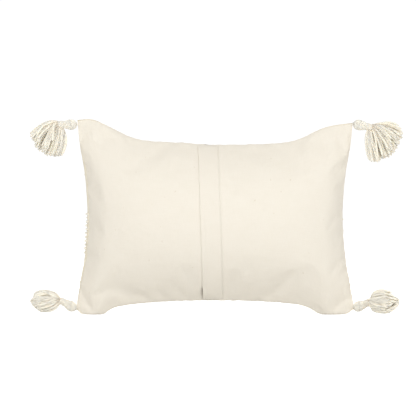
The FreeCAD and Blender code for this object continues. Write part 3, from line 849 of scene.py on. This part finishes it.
def make_loops():
    """Bands of raised yarn loops woven across the front."""
    rng = np.random.default_rng(12)
    spacing, tall, wide, thick = 6.2 * MM, 2.1 * MM, 2.6 * MM, 1.6 * MM
    paths, radii = [], []
    bands = [(110 * MM, 177 * MM, 11, -1.06), (53 * MM, 79 * MM, 5, -0.95),
             (246 * MM, 266 * MM, 4, -0.95)]
    arch = np.linspace(-0.15, math.pi + 0.15, 9)
    for low, high, rows, start in bands:
        for height in np.linspace(low, high, rows):
            up = float(2 * (height - seam_low(1.0)) / (seam_high(1.0) - seam_low(1.0)) - 1)
            turn = row_places(up, start, spacing, rng)
            level = np.full(len(turn), up)
            foot = cover_point(FRONT, turn, level)
            normal = cover_normal(FRONT, turn, level)
            ahead = cover_point(FRONT, turn + 0.004, level) - foot
            ahead /= np.linalg.norm(ahead, axis=1, keepdims=True)
            down = np.cross(ahead, normal)
            down *= -np.sign(down[:, 2:3])
            size = rng.uniform(0.85, 1.15, len(turn))
            for place, out, along, under, scale in zip(foot, normal, ahead, down, size):
                lean = rng.normal(0.35, 0.15)
                over = np.cos(arch)[:, None] * along * wide * scale
                up_out = np.sin(arch)[:, None] * (out + lean * under) * tall * scale
                paths.append(place + over + up_out - out * 0.3 * MM)
                radii.append(thick * scale)
    add_yarn("front_loops", paths, radii, "cover", None, 5)


# ---- insert


def lumpy(points, seed):
    """Soft uneven stuffing: a few broad low swellings pressed into a surface."""
    rng = np.random.default_rng(seed)
    depth = 0.0
    for _ in range(7):
        wave = rng.normal(0, 26, 3)
        depth = depth + np.sin(points @ wave + rng.uniform(0, 6.28))
    lowered = points.copy()
    lowered[..., 1] *= 1 - 0.012 * (1 + depth / 5)
    return lowered


def make_insert():
    """The casing's two sheets and the block of fibre, a step smaller each."""
    casing, gap, floor = 0.5 * MM, 1.4 * MM, 2.1 * MM
    depths = {BACK: BACK_DEPTH - 9.4 * MM, FRONT: FRONT_DEPTH - 2.1 * MM - 1 * MM}
    turn, up = np.meshgrid(np.linspace(-1, 1, 97), np.linspace(-1, 1, 61), indexing="ij")
    weave = np.tile(weave_place(turn, up), (2, 1))
    filling = {}
    for side, name in ((BACK, "insert_casing_back"), (FRONT, "insert_casing_front")):
        outer = lumpy(crowned(turn, up, side, depths[side], 11.4 * MM, 4.5 * MM, floor), 41)
        points, faces = cloth_shell(outer, side, casing)
        sheet = add_mesh(name, points, faces, "casing_cotton", weave=weave)
        declare_padded(sheet, name)
        filling[side] = lumpy(crowned(turn, up, side, depths[side] - gap, 11.4 * MM + 2 * gap,
                                      4.5 * MM + 2 * gap, floor + gap), 41)
        filling[side][..., 1] += side * 0.1 * MM
    numbers = {BACK: grid_numbers(*turn.shape)}
    numbers[FRONT] = numbers[BACK] + turn.size
    walls = rim_walls(numbers[BACK], turn.size)
    faces = np.concatenate([grid_faces(numbers[side], side) for side in (BACK, FRONT)] + [walls])
    points = np.concatenate([filling[side].reshape(-1, 3) for side in (BACK, FRONT)])
    block = add_mesh("insert_filling", points, faces, "fibre_fill")
    declare_padded(block, "insert_filling")


# ---- zip


def zip_point(x, radial, angle):
    """Points on the zip's arc: x across it, radial from its axis, angle up it."""
    out = np.stack([x, -np.cos(angle) * radial, np.sin(angle) * radial], -1)
    lean = np.array([
        [math.cos(CLOSURE_LEAN), 0, -math.sin(CLOSURE_LEAN)], [0, 1, 0],
        [math.sin(CLOSURE_LEAN), 0, math.cos(CLOSURE_LEAN)]])
    return out @ lean.T + [CLOSURE_OFFSET, BACK_RADIUS - BACK_DEPTH, MID_HEIGHT]


def make_coils():
    """Each side's coil: a flattened helix of nylon along its tape's edge."""
    pitch, wire, turn_steps = 1.35 * MM, 0.26 * MM, 9
    length = ZIP_RADIUS * math.radians(COIL_END - COIL_START)
    turns = int(length / pitch)
    for side, name in ((-1, "zip_coil_left"), (1, "zip_coil_right")):
        phase = np.linspace(0, turns * 2 * math.pi, turns * turn_steps + 1)
        angle = np.radians(COIL_START) + phase / (2 * math.pi) * pitch / ZIP_RADIUS
        angle = angle + (0.5 * pitch / ZIP_RADIUS if side > 0 else 0.0)
        across = side * (1.05 * MM + 1.15 * MM * np.cos(phase))
        radial = ZIP_RADIUS + COIL_LIFT + 0.62 * MM * np.sin(phase)
        path = zip_point(across, radial, angle)
        add_yarn(name, [path], [wire], "cover", name, 5, "zip_nylon")


def dress_kept_nodes():
    for name in ("zip_tape_left", "zip_tape_right"):
        dress(name, "zip_tape")
    for name in ("zip_top_stops", "zip_bottom_stop", "zip_slider", "zip_pull_tab"):
        dress(name, "zip_metal")
    dress("corner_stitches", "thread")


# ---- tassels

# drop is a skirt's angle below level, yaw its turn towards the back. A hanging skirt's
# strands fall between the two spread angles; a resting one's ends curl in by its curl.
SKIRTS = {
    "tl": {"drop": 57.0, "yaw": 0.0, "hangs": True, "spread": (21, 91), "reach": 57 * MM},
    "tr": {"drop": 55.0, "yaw": 0.0, "hangs": True, "spread": (9, 82), "reach": 60 * MM},
    "bl": {"drop": 3.0, "yaw": 0.0, "hangs": False, "centre": 27 * MM, "girth": 20 * MM,
           "curl": 0.26},
    "br": {"drop": 0.0, "yaw": 33.0, "hangs": False, "centre": 21 * MM, "girth": 18 * MM,
           "curl": -0.06},
}
KNOB_START, KNOB_CENTRE, KNOB_HALF_LENGTH, KNOB_RADIUS = -6.0 * MM, 3.7 * MM, 9.5 * MM, 9.6 * MM
NECK_REACH = 4.9 * MM
WRAP_START, WRAP_RADIUS, WRAP_PITCH, WRAP_TURNS = 17.0 * MM, 5.9 * MM, 1.75 * MM, 4
NECK_END = 26.5 * MM
KNOT_YARN, SKIRT_YARN = 1.9 * MM, 2.0 * MM
KNOT_STRANDS = 17
STRANDS, STRAND_SIDES, STRAND_STEPS = 160, 7, 20
SKIRT_ROOT = 2.0 * MM    # how far inside the neck the skirt's strands begin
PUFF_HALF_LENGTH = 26.5 * MM


def joint_point(name):
    found = next(joint for joint in frame["joints"] if joint["name"] == name)
    return np.array(found["pos_m"], float)


def square_pair(direction):
    """Two unit vectors square to a direction, the first of them level."""
    level = unit(np.cross([0, 0, 1], direction))
    return level, np.cross(direction, level)


def make_cord_loop(name):
    """Two plies of cord twisted round a ring that holds the knot to the corner."""
    bar = joint_point(f"tassel_{name}_swing")
    ring, ply, wire = 3.2 * MM, 0.34 * MM, 0.42 * MM
    turn = np.linspace(0, 2 * math.pi, 61)
    paths = []
    for start in (0.0, math.pi):
        twist = 7 * turn + start
        reach = ring + ply * np.cos(twist)
        paths.append(bar + np.stack(
            [reach * np.cos(turn), ply * np.sin(twist), reach * np.sin(turn)], -1))
    add_yarn(f"tassel_{name}_loop", paths, [wire] * 2, f"tassel_{name}_cord",
             f"tassel_{name}_loop", 6)


def make_knob(name, eye, outward, rng):
    """Yarn gathered over the eye: strands swell round the knob and run down the neck."""
    level, upright = square_pair(outward)
    paths, radii = [], []
    for index in range(KNOT_STRANDS):
        around = 2 * math.pi * (index + rng.uniform(-0.2, 0.2)) / KNOT_STRANDS
        along = np.linspace(KNOB_START, NECK_END, 26)
        swell = 1 - ((along - KNOB_CENTRE) / KNOB_HALF_LENGTH) ** 2
        reach = (KNOB_RADIUS - KNOT_YARN) * np.sqrt(np.maximum(swell, 0)) ** 0.9
        neck = smooth(2 * MM, 11 * MM, along)
        slope = 1.6 * MM * smooth(20 * MM, 9 * MM, along)
        reach = np.maximum(reach, (NECK_REACH + slope + rng.uniform(-0.2, 0.3) * MM) * neck)
        reach = np.maximum(reach, 1.5 * MM)
        spin = around + 0.5 * (along / KNOB_HALF_LENGTH - 1) * (1 - neck)
        paths.append(eye + along[:, None] * outward + reach[:, None] * circle(spin, level, upright))
        thick = KNOT_YARN * (0.6 + 0.35 * np.sqrt(np.maximum(swell, 0)))
        radii.append(thick * (1 + 0.1 * neck))
    # one strand crosses the knob, as the tie that holds it
    spin = np.linspace(0, 2 * math.pi, 40)
    tilt = KNOB_CENTRE + 3.0 * MM * np.sin(spin)
    reach = KNOB_RADIUS - 1.1 * MM - 0.5 * MM * np.abs(np.sin(spin))[:, None]
    paths.append(eye + tilt[:, None] * outward + reach * circle(spin, level, upright))
    radii.append(0.85 * MM)
    turn = np.linspace(0, 2 * math.pi, 25)
    eyelet = 1.9 * MM
    ahead = unit(outward * [1, 0, 0])
    paths.append(eye + eyelet * circle(turn, ahead, [0, 1, 0]))
    radii.append(0.65 * MM)
    add_yarn(f"tassel_{name}_knob", paths, radii, f"tassel_{name}_head", f"tassel_{name}_knob")


def make_neck_wrap(name, eye, outward):
    """Close turns of yarn round the neck, the last one tucked under."""
    level, upright = square_pair(outward)
    steps = WRAP_TURNS * 26
    turn = np.linspace(0, WRAP_TURNS * 2 * math.pi, steps + 1)
    along = WRAP_START + turn / (2 * math.pi) * WRAP_PITCH
    reach = WRAP_RADIUS - 1.6 * MM * (smooth(0.8, 0.0, turn) + smooth(turn[-1] - 0.8, turn[-1], turn))
    path = eye + along[:, None] * outward + reach[:, None] * circle(turn, level, upright)
    add_yarn(f"tassel_{name}_neck_wrap", [path], [0.92 * MM], f"tassel_{name}_head",
             f"tassel_{name}_neck_wrap")


def cosines(drop, yaw, side):
    """Unit vector outwards from a side, drop degrees below level and yaw to the back."""
    level = math.cos(math.radians(drop))
    return np.array([side * level * math.cos(math.radians(yaw)),
                     -level * math.sin(math.radians(yaw)), -math.sin(math.radians(drop))])


def make_locks(spread, rng):
    """Drop, yaw and relative length of the locks that a hanging skirt's strands fall into."""
    count = 12
    drops = np.linspace(*spread, count) + rng.normal(0, 1.2, count)
    yaws = np.tile([-26, 4, 30], 4) + rng.normal(0, 5, count)
    return list(zip(drops, yaws, 1 + rng.normal(0, 0.015, count)))


def hanging_strand(pinch, outward, side, reach, lock, rng):
    """A strand that arches out of the neck, falls under its weight and keeps its spread."""
    drop = lock[0] + rng.normal(0, 5.2)
    yaw = lock[1] + rng.normal(0, 15)
    end_direction = cosines(drop, yaw, side)
    length = (reach + rng.normal(0, 1.2) * MM - 3 * MM * abs(drop - 62) / 40) * lock[2]
    lifted = np.clip((58 - drop) / 36, -1, 1)
    across = -math.sin(math.radians(yaw)) * 1.6
    start = pinch - outward * SKIRT_ROOT + unit([0, across, lifted]) * rng.uniform(1.2, 4.6) * MM
    arch = (0.21 + (0.10 if lifted > 0 else 0.42) * lifted) * length
    first = start + outward * arch + np.array([0, 0, 0.13 * lifted * length])
    end = pinch + end_direction * length
    bulge = outward * 0.22 * min(lifted, 0) * length
    second = end - unit(end_direction + np.array([0, 0, -0.55])) * 0.42 * length + bulge
    return bezier([start, first, second, end + rng.normal(0, 0.6 * MM, 3)], STRAND_STEPS)


def lumps(around, polar):
    """Uneven swelling of a puff, by the direction that a part of it faces."""
    return 1 + 0.08 * math.sin(3 * around + 2.2 * polar) + 0.06 * math.sin(5 * around - 3 * polar + 1)


def resting_strand(pinch, outward, direction, facts, rng):
    """A strand of a puff that has settled on the floor: it lies round the puff and curls in."""
    level, upright = square_pair(direction)
    around = rng.uniform(0, 2 * math.pi)
    twist = rng.normal(0, 0.8)
    layer = rng.uniform(0.35, 1.0) ** 0.5
    last = 1.55 * rng.uniform() ** 0.7 - 0.4
    centre = pinch + direction * facts["centre"]
    knots = []
    for share in (0.0, 0.3, 0.6, 0.85, 1.0):
        polar = 2.5 + (last - 2.5) * share
        angle = around + twist * share
        spoke = math.cos(angle) * level + math.sin(angle) * upright
        reach = layer * lumps(angle, polar) * (1.2 - facts["curl"] * smooth(0.6, 1.0, np.array(share)))
        radial = math.cos(polar) * PUFF_HALF_LENGTH * direction + math.sin(polar) * facts["girth"] * spoke
        knots.append(centre + reach * radial)
    spoke = math.cos(around) * level + math.sin(around) * upright
    start = pinch - outward * SKIRT_ROOT + spoke * rng.uniform(0.8, 4.2) * MM
    path = bezier([start, start + outward * 6 * MM] + knots, STRAND_STEPS)
    thick = SKIRT_YARN * 0.9
    path[:, 2] = thick + 2 * MM * np.logaddexp(0, (path[:, 2] - thick) / (2 * MM))
    return path


def make_skirt(name, pinch, outward, side, rng):
    """The loose yarn below the neck, bending where it leaves it."""
    facts = SKIRTS[name]
    direction = cosines(facts["drop"], facts["yaw"], side)
    locks = make_locks(facts["spread"], rng) if facts["hangs"] else None
    paths, radii = [], []
    for index in range(STRANDS):
        if facts["hangs"]:
            lock = locks[index % len(locks)]
            path = hanging_strand(pinch, outward, side, facts["reach"], lock, rng)
        else:
            path = resting_strand(pinch, outward, direction, facts, rng)
        share = np.linspace(0, 1, len(path))
        wobble = np.sin(share[:, None] * rng.uniform(4, 9) + rng.uniform(0, 6.28, 3))
        path = path + wobble * 0.8 * MM * smooth(0.15, 0.6, share)[:, None]
        thick = SKIRT_YARN * rng.uniform(0.85, 1.15)
        swell = 0.45 + 0.55 * smooth(0.0, 0.35, share)
        frayed = 1 - 0.45 * smooth(0.9, 1.0, share)
        paths.append(path)
        radii.append(thick * swell * frayed)
    along = np.concatenate([np.repeat(np.linspace(0, 1, len(path)), STRAND_SIDES) for path in paths])
    # painted shade: warm and darker near the neck, where the strands crowd and shade each other, fading
    # out along them
    skirt = add_yarn(f"tassel_{name}_skirt", paths, radii, None, f"tassel_{name}_skirt",
                     STRAND_SIDES, deep=smooth(0.45, 0.05, along))
    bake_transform(skirt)


def make_tassels():
    for seed, name in enumerate(SKIRTS, start=50):
        rng = np.random.default_rng(seed)
        eye = joint_point(f"tassel_{name}_turn")
        pinch = joint_point(f"tassel_{name}_skirt_lift")
        outward = unit(pinch - eye)
        side = math.copysign(1.0, eye[0])
        make_cord_loop(name)
        make_knob(name, eye, outward, rng)
        make_neck_wrap(name, eye, outward)
        make_skirt(name, pinch, outward, side, rng)


# ---- stage, lights, camera


def add_light(name, place, target, width, height, power):
    data = bpy.data.lights.new(name, "AREA")
    data.shape = "RECTANGLE"
    data.size, data.size_y, data.energy = width, height, power
    light = bpy.data.objects.new(name, data)
    light.location = place
    light.rotation_mode = "QUATERNION"
    toward = Vector(target) - Vector(place)
    light.rotation_quaternion = toward.to_track_quat("-Z", "Y")
    link(light)


def make_floor():
    reach = 8.0
    mesh = bpy.data.meshes.new("floor")
    corners = [(-reach, -reach, 0), (reach, -reach, 0), (reach, reach, 0), (-reach, reach, 0)]
    mesh.from_pydata(corners, [], [(0, 1, 2, 3)])
    graph = Surface("floor_white", 0.9, 0.0)
    place = graph.own_place()
    tone = graph.mix(graph.noise(place, 3.0), rgb(0.78, 0.78, 0.78), rgb(0.80, 0.80, 0.80))
    graph.join(tone, graph.shader.inputs["Base Color"])
    graph.shader.inputs["Emission Color"].default_value = rgb(1, 1, 1)
    seen = graph.node("LightPath").outputs["Is Camera Ray"]
    graph.join(graph.math("MULTIPLY", seen, 0.75), graph.shader.inputs["Emission Strength"])
    mesh.materials.append(graph.material)
    floor = bpy.data.objects.new("floor", mesh)
    link(floor)


def make_world():
    """A backdrop that the camera sees white, and that lights the room less and more warmly."""
    world = bpy.data.worlds.new("studio")
    graph = Graph(world)
    backdrop = graph.tree.nodes["Background"]
    seen = graph.node("LightPath").outputs["Is Camera Ray"]
    graph.join(graph.mix(seen, rgb(1, 0.975, 0.93), rgb(1, 1, 1)), backdrop.inputs["Color"])
    graph.join(graph.math("MULTIPLY_ADD", seen, 0.40, 0.65), backdrop.inputs["Strength"])
    bpy.context.scene.world = world


def make_lights():
    middle = (0.0, 0.0, MID_HEIGHT)
    add_light("key", (-0.8, -2.4, 0.85), middle, 1.6, 1.6, 23)
    add_light("fill", (1.6, -1.9, 0.7), middle, 1.6, 1.6, 15)
    add_light("rear", (0.5, 2.4, 0.8), middle, 2.0, 1.5, 26)


def make_camera():
    data = bpy.data.cameras.new("camera")
    distance, view_width = 2.6, 0.7405
    data.sensor_width = 36.0
    data.lens = 36.0 * distance / view_width
    camera = bpy.data.objects.new("camera", data)
    camera.location = (-12.5 * MM, -distance, 189.5 * MM)
    camera.rotation_euler = (math.pi / 2, 0, 0)
    link(camera)
    bpy.context.scene.camera = camera
    bpy.context.scene.view_settings.view_transform = "Standard"


make_camera()
make_floor()
make_world()
make_lights()
make_cover()
make_lap()
make_lap_stitches()
make_loops()
make_insert()
make_coils()
dress_kept_nodes()
make_tassels()
